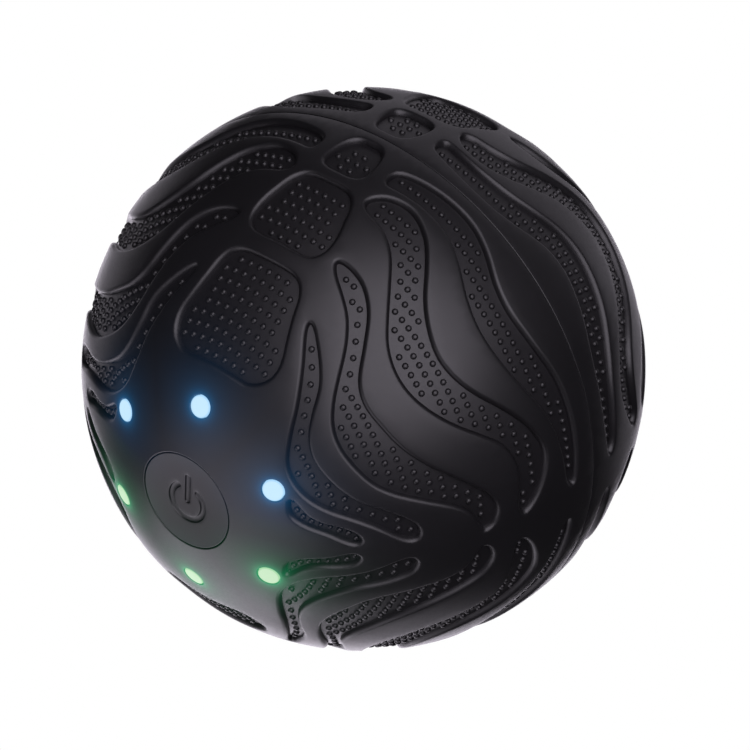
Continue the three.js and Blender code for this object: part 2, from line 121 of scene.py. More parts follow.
def evenOut(dense, fineStep, coarseStep, mirrored):
    # Places a closed loop's points closer together where it turns sharply.
    # A mirrored loop keeps a point on each end of its mirror line.
    places = fromSheet(dense) * ballRadius
    ahead = np.roll(places, -1, 0) - places
    lengths = np.linalg.norm(ahead, axis=1)
    heading = ahead / lengths[:, None]
    bend = np.linalg.norm(heading - np.roll(heading, 1, 0), axis=1)
    reach = 9  # points on each side that share their bend
    weights = np.hanning(2 * reach + 1)
    weights /= weights.sum()
    wrapped = np.concatenate([bend[-reach:], bend, bend[:reach]])
    span = np.concatenate([lengths[-reach:], lengths, lengths[:reach]])
    curl = np.convolve(wrapped, weights, "valid") / np.convolve(span, weights, "valid")
    step = np.clip(groove["bendPerStep"] / np.maximum(curl, 1e-6), fineStep, coarseStep)
    travel = np.concatenate([[0], np.cumsum(lengths / step)])
    closed = np.concatenate([dense, dense[:1]])
    if mirrored:
        half = len(dense) // 2
        upTo = travel[: half + 1]
        stops = np.linspace(0, upTo[-1], max(6, round(upTo[-1])) + 1)
        x = np.interp(stops, upTo, closed[: half + 1, 0])
        y = np.interp(stops, upTo, closed[: half + 1, 1])
        y[0] = y[-1] = 0.0
        return np.stack([x, y], 1)
    stops = np.linspace(0, travel[-1], max(12, round(travel[-1])), endpoint=False)
    x = np.interp(stops, travel, closed[:, 0])
    y = np.interp(stops, travel, closed[:, 1])
    return np.stack([x, y], 1)


def blurLoop(dense, rounds):
    for _ in range(rounds):
        dense = 0.25 * np.roll(dense, 1, 0) + 0.5 * dense + 0.25 * np.roll(dense, -1, 0)
    return dense


def outwardOf(places, mirrored):
    # The direction in the surface that points out of a loop that runs anticlockwise.
    if mirrored:
        flip = np.array([1, -1, 1])
        whole = np.concatenate([places, (places * flip)[-2:0:-1]])
        return outwardOf(whole, False)[: len(places)]
    along = np.roll(places, -1, 0) - np.roll(places, 1, 0)
    out = np.cross(along, places)
    return out / np.linalg.norm(out, axis=1)[:, None]


def roomBeside(places, side, most, mirrored):
    # How far each point can move to its side before it meets the other points' moves.
    whole = places
    if mirrored:
        whole = np.concatenate([places, places * np.array([1, -1, 1])])
    gap = (whole[None, :, :] - places[:, None, :]) * ballRadius
    square = (gap ** 2).sum(2)
    ahead = (gap * side[:, None, :]).sum(2)
    room = np.where(ahead > 1e-4, square / (2 * np.maximum(ahead, 1e-4)), 1e3)
    room = np.where(square < 1e-6, 1e3, room)
    nearest = np.minimum(room.min(1) * 0.9, most)
    if not mirrored:
        for _ in range(2):
            nearest = np.minimum(nearest, (np.roll(nearest, 1) + np.roll(nearest, -1)) / 2 + 0.03)
    return nearest


def newStock():
    return {"places": [], "faces": [], "count": 0}


def addTo(stock, places, faces):
    stock["places"].append(np.asarray(places, float))
    stock["faces"].append(np.asarray(faces, int) + stock["count"])
    stock["count"] += len(places)


def addRows(stock, rows, closed):
    # Joins rows of equal length with triangles.
    length = len(rows[0])
    spans = length if closed else length - 1
    made = []
    for k in range(len(rows) - 1):
        for i in range(spans):
            a, b = k * length + i, k * length + (i + 1) % length
            made.append((a, b, b + length))
            made.append((a, b + length, a + length))
    addTo(stock, np.concatenate(rows), made)


def addFan(stock, ring, tip):
    # Closes a ring with triangles to one point.
    sides = len(ring)
    fan = [(i, (i + 1) % sides, sides) for i in range(sides)]
    addTo(stock, np.concatenate([ring, [tip]]), fan)


def roundOver(rounding, angles):
    # How far a rounded edge still has to go sideways, and how far down it has come.
    for angle in angles:
        a = math.radians(angle)
        yield rounding * (1 - math.sin(a)), rounding * (1 - math.cos(a))


def keptTriangles(triangles, owners, kinds):
    # Leaves out what lies in a hole, under a nub, or between a groove's lip and its floor.
    kept = []
    for triangle, owner in zip(triangles, owners):
        owned = {kinds[k] for k in owner}
        inWall = "lip" in owned and "floor" not in owned
        if not (inWall or "hole" in owned or "nub" in owned):
            kept.append(triangle)
    return kept


def turned(stock, *flips):
    # Adds mirrored copies of everything in the stock, one for each flip.
    places = np.concatenate(stock["places"])
    faces = np.concatenate(stock["faces"])
    whole = newStock()
    for flip in flips:
        sign = np.array(flip)
        order = [0, 1, 2] if sign.prod() > 0 else [0, 2, 1]
        addTo(whole, places * sign, faces[:, order])
    return whole


def makePiece(name, stock, toWorld=None):
    # Merges equal points and makes one mesh, in metres, with its faces out.
    places = np.concatenate(stock["places"])
    faces = np.concatenate(stock["faces"])
    keys = np.round(places, 5) + 0.0
    _, first, back = np.unique(keys, axis=0, return_index=True, return_inverse=True)
    places = places[first]
    faces = back.reshape(-1)[faces]
    good = (faces != np.roll(faces, 1, 1)).all(1)
    faces = faces[good]
    mesh = bpy.data.meshes.new(name)
    mesh.from_pydata((places * mm).tolist(), [], faces.tolist())
    work = bmesh.new()
    work.from_mesh(mesh)
    loose = [v for v in work.verts if not v.link_faces]
    bmesh.ops.delete(work, geom=loose, context="VERTS")
    bmesh.ops.recalc_face_normals(work, faces=work.faces)
    openEdges = sum(1 for e in work.edges if len(e.link_faces) != 2)
    if toWorld is not None:
        bmesh.ops.transform(work, matrix=toWorld, verts=work.verts)
    work.to_mesh(mesh)
    work.free()
    mesh.shade_smooth()
    mesh.set_sharp_from_angle(angle=sharpAngle)
    piece = bpy.data.objects.new(name, mesh)
    bpy.context.scene.collection.objects.link(piece)
    print(f"{name}: {len(mesh.polygons)} faces, {openEdges} open edges")
    return piece


# Each outline is the middle of a groove's wall, as turn and slant in degrees, anticlockwise.
# A mirrored outline is half of one that crosses turn 0.

groove = {
    "wall": [(0.7, 0), (0.5, 0.03), (0.32, 0.12), (0.16, 0.27), (0.03, 0.48),
             (-0.06, 0.74), (-0.1, 1.0)],  # out from the outline and down from the surface
    "fineStep": 0.24,  # between an outline's points where it bends
    "coarseStep": 0.8,  # and where it runs straight
    "bendPerStep": 0.42,  # in radians
    "blurRounds": 40,
    "nubInset": 1.0,
    "nub": [(0.56, 1.0), (0.5, 0.78), (0.38, 0.62), (0.2, 0.56)],  # radius and depth
    "nubTop": 0.54,
    "tightInset": 0.8,  # in narrow stretches smaller nubs stand this near the wall
    "nubMargin": 0.2,  # between a small nub and the wall
    "leastNub": 0.35,  # share of the full size
    "nubSides": 8,
    "rowStart": 54.4,  # slant of a row of nubs
    "rowStep": 2.42,
    "scanStep": 0.08,  # between the places tried along a row
}

pattern = {
    "tail": {
        "corners": [
            (67.3, 24.5), (70, 24.1), (75, 24.1), (80, 26.4), (84, 31.2), (87.5, 35.3), (87.6, 36.6),
            (86.5, 37.4), (84.4, 36.9), (81.8, 34.4), (79, 29.8), (75.5, 27.3), (70, 25.8),
            (67.6, 25.2),
        ],
        "nubStep": 1.5,
        "nubLine": [
            (68.6, 24.9), (72, 25.0), (75.8, 25.7), (79.2, 28.0), (81.8, 31.7), (84, 34.8),
            (86.2, 36.4),
        ],
    },
    "longWave": {
        "corners": [
            (19, 47.6), (25, 42.1), (30, 38.2), (35, 34.6), (40, 31.2), (44, 29.2), (50, 27.1),
            (56, 26.5), (63, 27.1), (68, 28.5), (73, 31.3), (78, 36.7), (82, 41.2), (86, 45.5),
            (86.8, 47.5), (85.5, 48.8), (82, 48.2), (77, 43.3), (72.5, 38.2), (68, 35.5), (60, 32.9),
            (52, 32.1), (45, 33.3), (39, 36.4), (33, 41.3), (25, 45.7), (19.3, 48.3),
        ],
        "nubStep": 1.73,
    },
    "middleWave": {
        "corners": [
            (14, 60.5), (15.5, 58.9), (20, 56.6), (25, 54), (30, 50), (35, 45.2), (40, 41.4),
            (46, 38.8), (53, 38.1), (61, 39.4), (67, 41.6), (71, 44.7), (75, 50), (79, 56.3),
            (82, 59.4), (86, 61.2), (87.6, 62.1), (86.6, 63.8), (83, 65), (79, 63.5), (74, 59),
            (67, 52.8), (60, 48.8), (53, 46.9), (45, 46), (39, 47.5), (33, 52.2), (27, 57.6),
            (21, 60.7), (15, 61.2),
        ],
        "nubStep": 1.73,
    },
    "lowerWave": {
        "corners": [
            (9.5, 74.5), (10.5, 73), (16, 71.8), (21, 69.2), (26, 64.5), (31, 60), (36, 56.5),
            (42, 54.7), (48, 54.8), (54, 56.7), (60, 60.4), (65, 65), (69, 68.5), (74, 70.4),
            (80, 70.4), (85, 69.9), (86.4, 71.1), (84, 73.6), (79, 76.1), (74, 77), (68, 74.8),
            (62, 70.8), (56, 66.4), (51, 64), (45, 63), (39, 64.3), (33, 67.5), (28, 72.2), (23, 76.6),
            (17, 78.9), (11.5, 77.4),
        ],
        "nubStep": 1.73,
    },
    "edgeWave": {
        "corners": [
            (9.3, 80.5), (13, 80.8), (19, 81.3), (26, 80.4), (32, 77.9), (38, 74.9), (44, 73.4),
            (50, 73.6), (57, 75.3), (64, 78.2), (71, 80.5), (79, 81.7), (84.5, 82.5), (85.4, 83.7),
            (81, 84.8), (72, 85.1), (62, 84.2), (52, 81.7), (45, 80.7), (39, 81.7), (33, 84.5),
            (27, 86.4), (20, 86.6), (13, 85.5), (9.2, 83.7),
        ],
        "nubStep": 1.73,
    },
    "topPatch": {
        "corners": [
            (0, 30.8), (10, 30.9), (15.5, 31.3), (19.5, 33.3), (20.9, 35.6), (20.2, 38.6), (17, 42.7),
            (14.2, 47), (12, 51.1), (9.6, 53.1), (6.5, 53.7), (0, 53.7),
        ],
        "nubStep": 1.9,
        "rowStart": 32.4,
        "mirrored": True,
    },
    "backPatch": {
        "corners": [
            (0, 30.8), (10, 30.9), (15.5, 31.3), (19.3, 33), (20.7, 35.4), (20, 38.3), (16.5, 41),
            (11, 42.2), (5, 42.5), (0, 42.5),
        ],
        "nubStep": 1.9,
        "rowStart": 32.4,
        "mirrored": True,
    },
    "middlePatch": {
        "corners": [
            (0, 57.9), (5.5, 57.9), (8.8, 58.7), (10.2, 61), (10.1, 64.2), (8.9, 68), (7.4, 71.9),
            (5.3, 73.9), (2.5, 74.3), (0, 74.3),
        ],
        "nubStep": 1.8,
        "rowStart": 59.1,
        "mirrored": True,
    },
    "endPatch": {
        "corners": [
            (0, 77.2), (2.8, 77.3), (4.6, 78.3), (5, 80.4), (4.7, 83.4), (3.8, 86), (2.2, 87.3),
            (0, 87.4),
        ],
        "nubStep": 1.95,
        "rowStart": 79.0,
        "mirrored": True,
    },
}


def outlineOf(shape):
    # The evened outline of a groove on the sheet, and whether it is half of a mirrored one.
    corners = shape["corners"]
    mirrored = shape.get("mirrored", False)
    if mirrored:
        corners = corners + [(-t, s) for t, s in corners[-2:0:-1]]
    flat = [(s * math.cos(math.radians(t)), s * math.sin(math.radians(t))) for t, s in corners]
    dense = blurLoop(smoothLoop(flat), groove["blurRounds"])
    area = (dense[:, 0] * np.roll(dense[:, 1], -1) - dense[:, 1] * np.roll(dense[:, 0], -1)).sum()
    if area < 0:
        dense = np.roll(dense[::-1], 1, 0)
    if mirrored:
        # Start where the outline meets the mirror line and heads into the quarter.
        dense[0, 1] = dense[len(dense) // 2, 1] = 0.0
        if dense[1, 1] < 0:
            dense = np.roll(dense, -(len(dense) // 2), 0)
    return evenOut(dense, groove["fineStep"], groove["coarseStep"], mirrored), mirrored


def wallRows(flat, mirrored):
    # Rows of points down a groove's wall. Where the groove is narrow the wall stops short of its floor.
    middle = fromSheet(flat)
    out = outwardOf(middle, mirrored)
    if mirrored:
        out[[0, -1], 1] = 0
    inner = roomBeside(middle, -out, -groove["wall"][-1][0], mirrored)
    outer = roomBeside(middle, out, groove["wall"][0][0], mirrored)
    profile = np.array(groove["wall"][::-1])
    outerShare = outer / groove["wall"][0][0]
    innerShare = inner / -groove["wall"][-1][0]
    rows = []
    for side, depth in groove["wall"]:
        most = outerShare if side > 0 else innerShare
        moved = side * most
        down = np.interp(moved, profile[:, 0], profile[:, 1])
        down = np.full(len(moved), depth) if side > 0 else down
        angle = (moved / ballRadius)[:, None]
        place = (middle * np.cos(angle) + out * np.sin(angle)) * (ballRadius - down)[:, None]
        if mirrored:
            place[[0, -1], 1] = 0
        rows.append(place)
    return rows


def insideLoop(loop, points):
    # Which points lie inside a closed loop on the sheet.
    a, b = loop, np.roll(loop, -1, 0)
    x, y = points[:, 0, None], points[:, 1, None]
    crosses = (a[None, :, 1] > y) != (b[None, :, 1] > y)
    height = b[:, 1] - a[:, 1]
    height = np.where(np.abs(height) < 1e-12, 1e-12, height)
    reach = a[:, 0] + (y - a[None, :, 1]) / height * (b[:, 0] - a[:, 0])
    return ((x < reach) & crosses).sum(1) % 2 == 1


def nubSize(gap):
    # A nub's share of the full size where its middle stands this far from the wall.
    return np.minimum(1.0, (gap - groove["nubMargin"]) / groove["nub"][0][0])


def nubCentres(flat, mirrored, shape):
    # Rows of nubs along lines of equal slant, or nubs along the shape's own line.
    loop = np.concatenate([flat, flat[-2:0:-1] * [1, -1]]) if mirrored else flat
    ahead = np.roll(loop, -1, 0)
    finer = 5  # points tried along each edge of the outline
    edge = np.concatenate([loop + (ahead - loop) * share / finer for share in range(finer)])
    edge = fromSheet(edge) * ballRadius
    slants = np.hypot(flat[:, 0], flat[:, 1])
    if "nubLine" in shape:
        line = np.array([(s * math.cos(math.radians(t)), s * math.sin(math.radians(t)))
                         for t, s in shape["nubLine"]])
        places = fromSheet(line) * ballRadius
        travel = np.concatenate([[0], np.cumsum(np.linalg.norm(np.diff(places, axis=0), axis=1))])
        stops = np.linspace(0, travel[-1], round(travel[-1] / shape["nubStep"]) + 1)
        x, y = np.interp(stops, travel, line[:, 0]), np.interp(stops, travel, line[:, 1])
        middles = fromSheet(np.stack([x, y], 1)) * ballRadius
        gaps = np.sqrt(((middles[:, None, :] - edge[None, :, :]) ** 2).sum(2)).min(1)
        sizes = nubSize(gaps)
        return [(math.degrees(math.atan2(b, a)), math.hypot(a, b), size)
                for a, b, size in zip(x, y, sizes) if size > groove["leastNub"]]
    first = shape.get("rowStart", groove["rowStart"])
    low = math.ceil((slants.min() - first) / groove["rowStep"])
    high = math.floor((slants.max() - first) / groove["rowStep"])
    centres = []
    for k in range(low, high + 1):
        slant = first + k * groove["rowStep"]
        around = ballRadius * math.sin(math.radians(slant))
        turns = np.arange(-45 if mirrored else 0, 90, math.degrees(groove["scanStep"] / around))
        line = onBall(turns, np.full(len(turns), slant))
        ok = insideLoop(loop, toSheet(line))
        apart = line[:, None, :] * ballRadius - edge[None, :, :]
        gaps = np.sqrt((apart ** 2).sum(2)).min(1)
        ok &= gaps > groove["tightInset"]
        roomy = gaps > groove["nubInset"]
        runs = np.flatnonzero(np.diff(np.concatenate([[0], ok.astype(int), [0]])))
        for start, stop in runs.reshape(-1, 2):
            wellInside = np.flatnonzero(roomy[start:stop])
            size = 1.0
            if len(wellInside):
                start, stop = start + wellInside[0], start + wellInside[-1] + 1
            else:
                best = start + int(np.argmax(gaps[start:stop]))
                start, stop = best, best + 1
                size = nubSize(gaps[best])
            wide = math.radians(turns[stop - 1] - turns[start]) * around
            middle = 0.5 * (turns[start] + turns[stop - 1])
            step = shape["nubStep"]
            if mirrored:
                middle = 0.0
                count = 2 * int(wide / step / 2 + 0.5)
            else:
                count = int(wide / step + 0.06) + 1
            for i in range(count):
                turn = middle + math.degrees((i - (count - 1) / 2) * step / around)
                if turn > 0:
                    centres.append((turn, slant, size))
    return centres


def ringRound(centre, radius, depth, sides, start=0.0, sweep=360.0):
    # Points round an axis through the ball's middle, on the sphere at this depth.
    axis = np.asarray(centre, float)
    east = np.array([-axis[1], axis[0], 0.0])
    east = east / np.linalg.norm(east) if np.linalg.norm(east) > 1e-9 else np.array([0.0, 1.0, 0.0])
    north = np.cross(east, axis)
    closed = sweep > 359
    angles = np.radians(start + np.linspace(0, sweep, sides, endpoint=not closed))
    height = math.sqrt((ballRadius - depth) ** 2 - radius ** 2)
    return axis * height + radius * (np.cos(angles)[:, None] * north + np.sin(angles)[:, None] * east)


hole = {
    "button": {"radius": 8.87, "round": 0.2, "sides": 28},
    "light": {"radius": 1.97, "round": 0.12, "sides": 40, "slant": 22.03, "turns": (0, 60)},
    "port": {"half": (3.7, 6.6), "corner": 3.3, "round": 0.35},
    "wallDepths": (1.2, 2.4, ballRadius - ball["innerRadius"]),
}


def roundedRows(ringAt, radius, rounding):
    # Rows over a hole's rounded edge, then down to the inner surface.
    rows = [ringAt(radius + rounding + guard, 0.0)]
    for aside, down in roundOver(rounding, (0, 30, 60, 90)):
        rows.append(ringAt(radius + aside, down))
    for depth in hole["wallDepths"]:
        rows.append(ringAt(radius, depth))
    return rows


def buttonHoleRows():
    spec = hole["button"]

    def ringAt(radius, depth):
        turns = np.radians(np.linspace(0, 90, spec["sides"]))
        height = math.sqrt((ballRadius - depth) ** 2 - radius ** 2)
        heights = np.full(len(turns), height)
        ring = np.stack([radius * np.cos(turns), radius * np.sin(turns), heights], 1)
        ring[0, 1] = ring[-1, 0] = 0.0
        return ring

    return roundedRows(ringAt, spec["radius"], spec["round"])


def lightHoleRows(turn):
    spec = hole["light"]
    centre = onBall(turn, spec["slant"])
    half = turn == 0

    def ringAt(radius, depth):
        if half:
            ring = ringRound(centre, radius, depth, spec["sides"] // 2 + 1, 0, 180)
            ring[[0, -1], 1] = 0.0
            return ring
        return ringRound(centre, radius, depth, spec["sides"])

    return roundedRows(ringAt, spec["radius"], spec["round"]), half


def portHoleRows():
    spec = hole["port"]
    halfX, halfY = spec["half"]

    def ringAt(grown, depth):
        corner = spec["corner"] + grown
        cx, cy = halfX - spec["corner"], halfY - spec["corner"]
        angles = np.radians(np.linspace(0, 90, 15))
        arc = np.stack([cx + corner * np.cos(angles), cy + corner * np.sin(angles)], 1)
        side = [(halfX + grown, y) for y in np.linspace(0, cy, 5)[:-1]]
        end = [(x, halfY + grown) for x in np.linspace(cx, 0, 3)[1:]]
        flat = np.concatenate([side, arc, end])
        height = np.sqrt((ballRadius - depth) ** 2 - (flat ** 2).sum(1))
        return np.column_stack([flat, height])

    return roundedRows(ringAt, 0.0, spec["round"])


def quarterSurface(upper, spacing, detailed, absent="backPatch"):
    # One quarter of a half skin's surface: the plain sphere, and with its grooves if detailed.
    stock = newStock()
    flat, places, edges, regions, kinds = [], [], [], [], []

    def place(points, closed):
        start = len(flat)
        sheet = toSheet(points)
        sheet[np.abs(sheet) < 1e-9] = 0.0
        flat.extend(sheet.tolist())
        places.extend(np.asarray(points).tolist())
        count = len(points)
        indices = list(range(start, start + count))
        edges.extend(zip(indices[:-1], indices[1:]))
        if closed:
            edges.append((indices[-1], indices[0]))
        return indices

    def region(indices, kind):
        regions.append(indices)
        kinds.append(kind)

    depth = 0.0 if detailed else ballRadius - ball["innerRadius"]
    row = 0 if detailed else -1
    blocked = []  # closed loops on the sheet that hold no grid points
    spans = []  # stretches of turn 0 that grooves and holes take up

    # The rows round the holes.
    if upper:
        holes = [(buttonHoleRows(), False, "corner")]
        for turn in hole["light"]["turns"]:
            rows, half = lightHoleRows(turn)
            holes.append((rows, not half, "half" if half else "whole"))
    else:
        holes = [(portHoleRows(), False, "corner")]
    for rows, closed, form in holes:
        if detailed:
            addRows(stock, rows, closed)
        indices = place(rows[row], closed)
        if form == "corner":
            centre = len(flat)
            flat.append([0.0, 0.0])
            places.append([0.0, 0.0, ballRadius])
            indices = indices + [centre]
        region(indices, "hole")
        blocked.append(np.array([flat[i] for i in indices]))
        if form != "whole":
            slants = [flat[i][0] for i in indices if flat[i][1] == 0]
            spans.append((min(slants), max(slants), "hole"))

    # The seam's edge.
    turns = np.linspace(0, 90, ball["rimSteps"] + 1)
    innerSlant = math.degrees(math.acos(ball["seamHalf"] / ball["innerRadius"]))
    innerRim = onBall(turns, np.full(len(turns), innerSlant)) * ball["innerRadius"]
    if detailed:
        rise = ball["seamHalf"] + ball["seamRound"]
        edgeSlant = math.degrees(math.acos(rise / ballRadius))
        rim = onBall(turns, np.full(len(turns), edgeSlant)) * ballRadius
    else:
        edgeSlant = innerSlant
        rim = innerRim
    rim[0, 1] = rim[-1, 0] = 0.0
    place(rim, False)

    if detailed:
        # The seam's rounded edge and its flat, down to the inner surface.
        rows = [rim]
        for above, inward in roundOver(ball["seamRound"], (30, 60, 90)):
            ring = onBall(turns, np.full(len(turns), 90.0)) * (ballRadius - inward)
            ring[:, 2] = ball["seamHalf"] + above
            rows.append(ring)
        rows.append(innerRim)
        for ring in rows[1:]:
            ring[0, 1] = ring[-1, 0] = 0.0
        addRows(stock, rows, False)
        # The grooves and patches with their nubs.
        for name, shape in pattern.items():
            if name == absent:
                continue
            outline, mirrored = outlineOf(shape)
            rows = wallRows(outline, mirrored)
            addRows(stock, rows, not mirrored)
            lip = place(rows[0], not mirrored)
            floor = place(rows[-1], not mirrored)
            region(lip, "lip")
            region(floor, "floor")
            blocked.append(np.array([flat[i] for i in lip]))
            if mirrored:
                ends = sorted(flat[i][0] for i in (lip[0], lip[-1]))
                floorEnds = sorted(flat[i][0] for i in (floor[0], floor[-1]))
                spans.append((*ends, "groove"))
                spans.append((*floorEnds, "floor"))
            for turn, slant, size in nubCentres(outline, mirrored, shape):
                centre = onBall(turn, slant)
                rings = [ringRound(centre, r * size, d, groove["nubSides"]) for r, d in groove["nub"]]
                addRows(stock, rings, True)
                region(place(rings[0], True), "nub")
                addFan(stock, rings[-1], centre * (ballRadius - groove["nubTop"]))

    # Points along the two straight sides.
    for side in (0, 1):
        taken = sorted(p[side] for p in flat if p[1 - side] == 0 and p[side] > 0)
        added = []
        for a, b in zip(taken[:-1], taken[1:]):
            middle = 0.5 * (a + b)
            kind = ""
            if side == 0:
                for low, high, what in spans:
                    if low < middle < high:
                        kind = what
            if kind in ("hole", "groove"):
                continue
            cuts = max(1, round((b - a) / math.degrees(spacing / ballRadius)))
            for k in range(1, cuts):
                slant = a + (b - a) * k / cuts
                down = groove["wall"][-1][1] if kind == "floor" else depth
                point = onBall(0.0 if side == 0 else 90.0, slant) * (ballRadius - down)
                point[1 - side] = 0.0
                added.append(point)
        if added:
            start = len(flat)
            sheet = toSheet(np.array(added))
            sheet[:, 1 - side] = 0.0
            flat.extend(sheet.tolist())
            places.extend(np.array(added).tolist())
        order = [i for i, p in enumerate(flat) if p[1 - side] == 0]
        order.sort(key=lambda i: flat[i][side])
        edges.extend(zip(order[:-1], order[1:]))

    # An even net of points over the rest.
    step = math.degrees(spacing / ballRadius)
    net = []
    for j in range(int(edgeSlant / (step * netRowShare)) + 2):
        for i in range(int(edgeSlant / step) + 2):
            net.append(((i + 0.5 * (j % 2) + 0.3) * step, (j + 0.5) * step * netRowShare))
    net = np.array(net)
    net = net[np.hypot(net[:, 0], net[:, 1]) < edgeSlant - 0.55 * step]
    for loop in blocked:
        net = net[~insideLoop(loop, net)]
    fixed = np.array(flat)
    near = np.full(len(net), 1e9)
    batch = 2000  # keeps the table of distances small
    for start in range(0, len(fixed), batch):
        gap = ((net[:, None, :] - fixed[None, start:start + batch, :]) ** 2).sum(2)
        near = np.minimum(near, gap.min(1))
    net = net[near > (0.6 * step) ** 2]
    flat.extend(net.tolist())
    places.extend((fromSheet(net) * (ballRadius - depth)).tolist())

    result = delaunay_2d_cdt([Vector(p) for p in flat], edges, regions, 0, 1e-6, True)
    points, _, triangles, origins, _, owners = result
    fresh = sum(1 for o in origins if not o)
    print(f"  {len(points)} points, {fresh} of them new, {len(triangles)} triangles")
    final = []
    for point, origin in zip(points, origins):
        if origin:
            final.append(places[origin[0]])
        else:
            final.append((fromSheet([point])[0] * (ballRadius - depth)).tolist())
    addTo(stock, final, keptTriangles(triangles, owners, kinds))
    return stock


def halfSkin(name, upper):
    # The upper half's back has a short patch where its front has the long one.
    inner = quarterSurface(upper, ball["innerSpacing"], False)
    whole = newStock()
    for side in (1, -1):
        absent = "topPatch" if upper and side == -1 else "backPatch"
        outer = quarterSurface(upper, ball["spacing"], True, absent)
        for stock in (outer, inner):
            both = turned(stock, (side, 1, 1), (side, -1, 1))
            addTo(whole, np.concatenate(both["places"]), np.concatenate(both["faces"]))
    # The quarter's turn 0 side faces -Y in the world.
    toWorld = Matrix.Rotation(math.radians(-90), 4, "Z")
    if not upper:
        toWorld = Matrix.Diagonal((1, 1, -1, 1)) @ toWorld
    return makePiece(name, whole, toWorld)


button = {
    "radius": 8.75,
    "round": 0.12,
    "underside": 44.4,
    "stemRadius": 2.8,
    "stemFoot": 0.4,  # the slope where the stem meets the cap
    "stemEnd": 35.7,
    "chamfer": 0.3,
    "sides": 96,
    "netSpacing": 0.6,
    "edgeHeight": 46.6,
    "dish": 0.25,  # how far the middle is hollowed
    "iconCentre": (-0.4, 0.03),
    "ringRadius": 3.3,
    "ringGap": 38.0,  # degrees each side of the bar
    "barFrom": 0.3,
    "barTo": 5.1,
    "halfWidth": 0.5,
    "wall": [(0.14, 0), (0.05, 0.02), (0.0, 0.09), (-0.03, 0.19), (-0.1, 0.23)],  # as the groove's
}


def capsule(line, grow, ends=7):
    # A closed band round a line of points, with round ends.
    line = np.asarray(line, float)
    ahead = np.gradient(line, axis=0)
    ahead /= np.linalg.norm(ahead, axis=1)[:, None]
    side = np.stack([ahead[:, 1], -ahead[:, 0]], 1)
    made = list(line + side * grow)
    for tip, way, sign in ((line[-1], ahead[-1], 1), (line[0], ahead[0], -1)):
        out = np.array([way[1], -way[0]]) * sign
        for angle in np.radians(np.linspace(0, 180, ends + 2)[1:-1]):
            made.append(tip + grow * (out * math.cos(angle) + sign * way * math.sin(angle)))
        if sign == 1:
            made.extend((line - side * grow)[::-1])
    return np.array(made)


def onTop(flat, depth):
    # Points on the cap's hollowed top, or below it.
    flat = np.asarray(flat, float)
    share = (flat ** 2).sum(1) / button["radius"] ** 2
    height = button["edgeHeight"] - button["dish"] * (1 - share) - depth
    return np.column_stack([flat, height])


def powerButton():
    spec = button
    cx, cy = spec["iconCentre"]
    angles = np.radians(np.linspace(spec["ringGap"], 360 - spec["ringGap"], 49))
    size = spec["ringRadius"]
    ring = np.stack([cx + size * np.cos(angles), cy + size * np.sin(angles)], 1)
    bar = [(cx + x, cy) for x in np.linspace(spec["barFrom"], spec["barTo"], 9)]
    stock = newStock()
    flat, places, edges, regions, kinds = [], [], [], [], []

    def place(points, kind=None):
        start = len(flat)
        flat.extend(points[:, :2].tolist())
        places.extend(points.tolist())
        indices = list(range(start, start + len(points)))
        edges.extend(zip(indices, indices[1:] + indices[:1]))
        if kind:
            regions.append(indices)
            kinds.append(kind)

    turns = np.linspace(0, 2 * math.pi, spec["sides"], endpoint=False)
    circle = np.stack([np.cos(turns), np.sin(turns)], 1)
    rows = [onTop(circle * (spec["radius"] - spec["round"] - guard), 0)]
    for aside, down in roundOver(spec["round"], (0, 22, 45, 67, 90)):
        rows.append(onTop(circle * (spec["radius"] - aside), down))
    place(rows[0])
    low, foot, chamfer = spec["underside"], spec["stemFoot"], spec["chamfer"]
    for radius, height in ((spec["radius"], low + chamfer),
                           (spec["radius"] - chamfer, low),
                           (spec["stemRadius"] + foot, low),
                           (spec["stemRadius"], low - foot),
                           (spec["stemRadius"], spec["stemEnd"] + chamfer),
                           (spec["stemRadius"] - chamfer, spec["stemEnd"])):
        rows.append(np.column_stack([circle * radius, np.full(len(circle), height)]))
    addRows(stock, rows, True)
    addFan(stock, rows[-1], [0, 0, spec["stemEnd"]])

    for line in (ring, bar):
        walls = [onTop(capsule(line, spec["halfWidth"] + grow), depth) for grow, depth in spec["wall"]]
        addRows(stock, walls, True)
        place(walls[0], "lip")
        place(walls[-1], "floor")

    step = spec["netSpacing"]
    count = int(spec["radius"] / step) + 1
    net = np.array([((i + 0.5 * (j % 2)) * step, j * step * netRowShare)
                    for i in range(-count, count) for j in range(-count, count)])
    net = net[np.hypot(net[:, 0], net[:, 1]) < spec["radius"] - spec["round"] - 0.6 * step]
    for indices, kind in zip(regions, kinds):
        if kind == "lip":
            net = net[~insideLoop(np.array([flat[i] for i in indices]), net)]
    near = ((net[:, None, :] - np.array(flat)[None, :, :]) ** 2).sum(2).min(1)
    net = net[near > (0.55 * step) ** 2]
    flat.extend(net.tolist())
    places.extend(onTop(net, 0).tolist())
    result = delaunay_2d_cdt([Vector(p) for p in flat], edges, regions, 0, 1e-6, True)
    _, _, triangles, origins, _, owners = result
    print(f"  icon: {sum(1 for o in origins if not o)} new points")
    addTo(stock, [places[o[0]] for o in origins], keptTriangles(triangles, owners, kinds))
    piece = makePiece("powerButtonCap", stock, Matrix.Rotation(math.radians(-90), 4, "Z"))
    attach(piece, "button")
    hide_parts("power_button")
    return piece


lens = {
    "radius": 1.85,
    "round": 0.12,
    "crown": 0.04,  # how far the middle stands above the edge
    "collar": 2.8,
    "collarLow": 39.2,
    "collarHigh": 40.0,
    "slope": 0.02,
    "low": 34.2,
    "chamfer": 0.1,
    "sides": 40,
}


